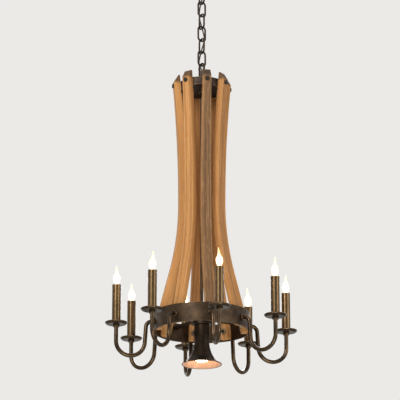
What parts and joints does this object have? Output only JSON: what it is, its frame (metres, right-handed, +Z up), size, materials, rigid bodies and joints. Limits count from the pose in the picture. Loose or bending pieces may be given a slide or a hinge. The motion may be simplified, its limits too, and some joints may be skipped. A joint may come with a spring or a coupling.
{
  "type": "barrel stave chandelier",
  "caption": "Chain-hung chandelier: a tall waisted crown of barrel staves flaring into a steel ring with hooked candle arms and a trumpet-shaped downlight.",
  "frame": {"origin": "middle of the mounting bar's two slots, on the ceiling plane", "axes": "+Z up along the chain and the stem, -Y the front that the picture shows turned by 12 degrees"},
  "size_m": [0.61, 0.61, 1.37],
  "materials": {
    "dark_bronze": "satin oil-rubbed bronze, worn lighter on the edges",
    "plated_steel": "zinc plated",
    "black_steel": "black oxide",
    "oak_dark": "weathered oak, dark stain",
    "oak_mid": "weathered oak",
    "oak_light": "weathered oak, light",
    "cord_jacket": "dark brown jacket",
    "socket_plastic": "moulded",
    "lamp_glass": "clear, lit"
  },
  "bodies": {
    "ceiling_mount": {"mounting_bar": "plated_steel", "bar_nut": "plated_steel", "canopy_nipple": "plated_steel", "canopy": "dark_bronze", "canopy_nut": "dark_bronze", "canopy_loop": "dark_bronze"},
    "link_1": {"chain_link_1": "dark_bronze"},
    "link_2": {"chain_link_2": "dark_bronze"},
    "link_3": {"chain_link_3": "dark_bronze"},
    "link_4": {"chain_link_4": "dark_bronze"},
    "link_5": {"chain_link_5": "dark_bronze"},
    "link_6": {"chain_link_6": "dark_bronze"},
    "link_7": {"chain_link_7": "dark_bronze"},
    "fixture": {"lamp_cord": "cord_jacket", "hang_loop": "dark_bronze", "stem": "dark_bronze", "stem_nuts": "plated_steel", "crown_pan": "dark_bronze", "crown_bolts": "black_steel", "crown_nuts": "black_steel", "stave_1": "oak_dark", "stave_2": "oak_mid", "stave_3": "oak_light", "stave_4": "oak_mid", "stave_5": "oak_dark", "stave_6": "oak_mid", "stave_7": "oak_mid", "stave_8": "oak_light", "ring_band": "dark_bronze", "ring_cross": "dark_bronze", "arm_1": "dark_bronze", "arm_2": "dark_bronze", "arm_3": "dark_bronze", "arm_4": "dark_bronze", "arm_5": "dark_bronze", "arm_6": "dark_bronze", "arm_7": "dark_bronze", "arm_8": "dark_bronze", "arm_nuts": "plated_steel", "drip_pans": "dark_bronze", "pan_nuts": "plated_steel", "candle_sleeves": "dark_bronze", "candle_sockets": "socket_plastic", "downlight_fitter": "dark_bronze", "downlight_bell": "dark_bronze", "downlight_socket": "socket_plastic"},
    "candle_lamp_1": {"bulb_1": "lamp_glass"},
    "candle_lamp_2": {"bulb_2": "lamp_glass"},
    "candle_lamp_3": {"bulb_3": "lamp_glass"},
    "candle_lamp_4": {"bulb_4": "lamp_glass"},
    "candle_lamp_5": {"bulb_5": "lamp_glass"},
    "candle_lamp_6": {"bulb_6": "lamp_glass"},
    "candle_lamp_7": {"bulb_7": "lamp_glass"},
    "candle_lamp_8": {"bulb_8": "lamp_glass"},
    "down_lamp": {"downlight_bulb": "lamp_glass"}
  },
  "joints": [
    {"name": "link_1_swing", "type": "hinge", "parent": "ceiling_mount", "child": "link_1", "pos_m": [0, 0, -0.0785], "axis": [-0.3827, 0.9239, 0], "range_deg": [-18, 18], "deforming": ["lamp_cord"]},
    {"name": "link_2_swing", "type": "hinge", "parent": "link_1", "child": "link_2", "pos_m": [0, 0, -0.1211], "axis": [0.9239, 0.3827, 0], "range_deg": [-18, 18], "deforming": ["lamp_cord"]},
    {"name": "link_3_swing", "type": "hinge", "parent": "link_2", "child": "link_3", "pos_m": [0, 0, -0.1642], "axis": [-0.3827, 0.9239, 0], "range_deg": [-18, 18], "deforming": ["lamp_cord"]},
    {"name": "link_4_swing", "type": "hinge", "parent": "link_3", "child": "link_4", "pos_m": [0, 0, -0.2073], "axis": [0.9239, 0.3827, 0], "range_deg": [-18, 18], "deforming": ["lamp_cord"]},
    {"name": "link_5_swing", "type": "hinge", "parent": "link_4", "child": "link_5", "pos_m": [0, 0, -0.2504], "axis": [-0.3827, 0.9239, 0], "range_deg": [-18, 18], "deforming": ["lamp_cord"]},
    {"name": "link_6_swing", "type": "hinge", "parent": "link_5", "child": "link_6", "pos_m": [0, 0, -0.2935], "axis": [0.9239, 0.3827, 0], "range_deg": [-18, 18], "deforming": ["lamp_cord"]},
    {"name": "link_7_swing", "type": "hinge", "parent": "link_6", "child": "link_7", "pos_m": [0, 0, -0.3366], "axis": [-0.3827, 0.9239, 0], "range_deg": [-18, 18], "deforming": ["lamp_cord"]},
    {"name": "fixture_swing", "type": "hinge", "parent": "link_7", "child": "fixture", "pos_m": [0, 0, -0.3797], "axis": [0.9239, 0.3827, 0], "range_deg": [-18, 18], "deforming": ["lamp_cord"]},
    {"name": "candle_lamp_1_lift", "type": "slide", "parent": "fixture", "child": "candle_lamp_1", "axis": [0, 0, 1], "range_m": [0, 0.03]},
    {"name": "candle_lamp_2_lift", "type": "slide", "parent": "fixture", "child": "candle_lamp_2", "axis": [0, 0, 1], "range_m": [0, 0.03]},
    {"name": "candle_lamp_3_lift", "type": "slide", "parent": "fixture", "child": "candle_lamp_3", "axis": [0, 0, 1], "range_m": [0, 0.03]},
    {"name": "candle_lamp_4_lift", "type": "slide", "parent": "fixture", "child": "candle_lamp_4", "axis": [0, 0, 1], "range_m": [0, 0.03]},
    {"name": "candle_lamp_5_lift", "type": "slide", "parent": "fixture", "child": "candle_lamp_5", "axis": [0, 0, 1], "range_m": [0, 0.03]},
    {"name": "candle_lamp_6_lift", "type": "slide", "parent": "fixture", "child": "candle_lamp_6", "axis": [0, 0, 1], "range_m": [0, 0.03]},
    {"name": "candle_lamp_7_lift", "type": "slide", "parent": "fixture", "child": "candle_lamp_7", "axis": [0, 0, 1], "range_m": [0, 0.03]},
    {"name": "candle_lamp_8_lift", "type": "slide", "parent": "fixture", "child": "candle_lamp_8", "axis": [0, 0, 1], "range_m": [0, 0.03]},
    {"name": "down_lamp_drop", "type": "slide", "parent": "fixture", "child": "down_lamp", "axis": [0, 0, -1], "range_m": [0, 0.035]}
  ]
}
